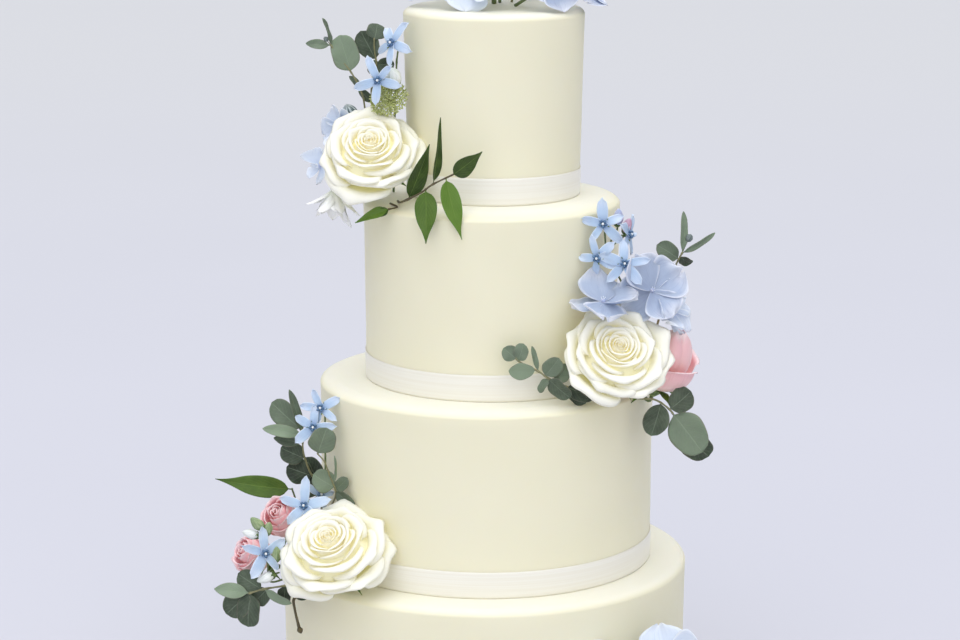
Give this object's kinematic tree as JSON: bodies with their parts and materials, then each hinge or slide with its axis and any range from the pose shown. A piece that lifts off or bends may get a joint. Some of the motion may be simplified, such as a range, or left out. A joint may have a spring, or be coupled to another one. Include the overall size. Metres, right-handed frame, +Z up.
{
  "type": "tiered wedding cake",
  "caption": "Tall stacked round wedding cake under smooth ivory icing, with a satin ribbon round the foot of each tier and clusters of fresh flowers and leaves on its ledges.",
  "frame": {"origin": "middle of the bottom tier's underside", "axes": "+Z up, with the front of the cake, where the flower clusters show, facing -Y"},
  "size_m": [0.3911, 0.3069, 0.5912],
  "materials": {
    "icing": "satin",
    "ribbon": "satin",
    "rose": "matte",
    "pink_petal": "matte",
    "blue_petal": "matte",
    "star_petal": "matte",
    "grey_leaf": "matte",
    "green_leaf": "satin",
    "green_flower": "matte",
    "white_petal": "matte",
    "bud": "matte"
  },
  "bodies": {
    "root": {"tier_foot": "icing", "ribbon_foot": "ribbon", "tier_third": "icing", "ribbon_third": "ribbon", "tier_second": "icing", "ribbon_second": "ribbon", "tier_top": "icing", "ribbon_top": "ribbon", "rose_a": "rose", "star_spray_a": "star_petal", "umbel_a": "green_flower", "eucalyptus_a_left": "grey_leaf", "eucalyptus_a_right": "grey_leaf", "hydrangea_a": "blue_petal", "leafy_sprig_a": "green_leaf", "low_leaf_a": "green_leaf", "bell_flower_a": "white_petal", "striped_bud_a": "bud", "rose_b": "rose", "pink_flower_b": "pink_petal", "hydrangea_b_left": "blue_petal", "hydrangea_b_right": "blue_petal", "star_spray_b": "star_petal", "eucalyptus_b_top": "grey_leaf", "eucalyptus_b_left": "grey_leaf", "eucalyptus_b_low": "grey_leaf", "rose_c": "rose", "pink_flower_c_upper": "pink_petal", "pink_flower_c_lower": "pink_petal", "star_spray_c_top": "star_petal", "star_spray_c_mid": "star_petal", "star_spray_c_low": "star_petal", "eucalyptus_c_up": "grey_leaf", "eucalyptus_c_right": "grey_leaf", "long_leaf_c": "green_leaf", "eucalyptus_c_low": "grey_leaf", "twig_c": "grey_leaf", "rose_d": "rose", "pink_flower_d": "pink_petal", "hydrangea_d_left": "blue_petal", "hydrangea_d_right": "blue_petal", "eucalyptus_d_left": "grey_leaf", "eucalyptus_d_right": "grey_leaf", "rose_t": "rose", "hydrangea_t_left": "blue_petal", "hydrangea_t_right": "blue_petal", "hydrangea_t_back": "blue_petal", "star_spray_t": "star_petal", "eucalyptus_t_left": "grey_leaf", "eucalyptus_t_right": "grey_leaf"}
  },
  "joints": []
}
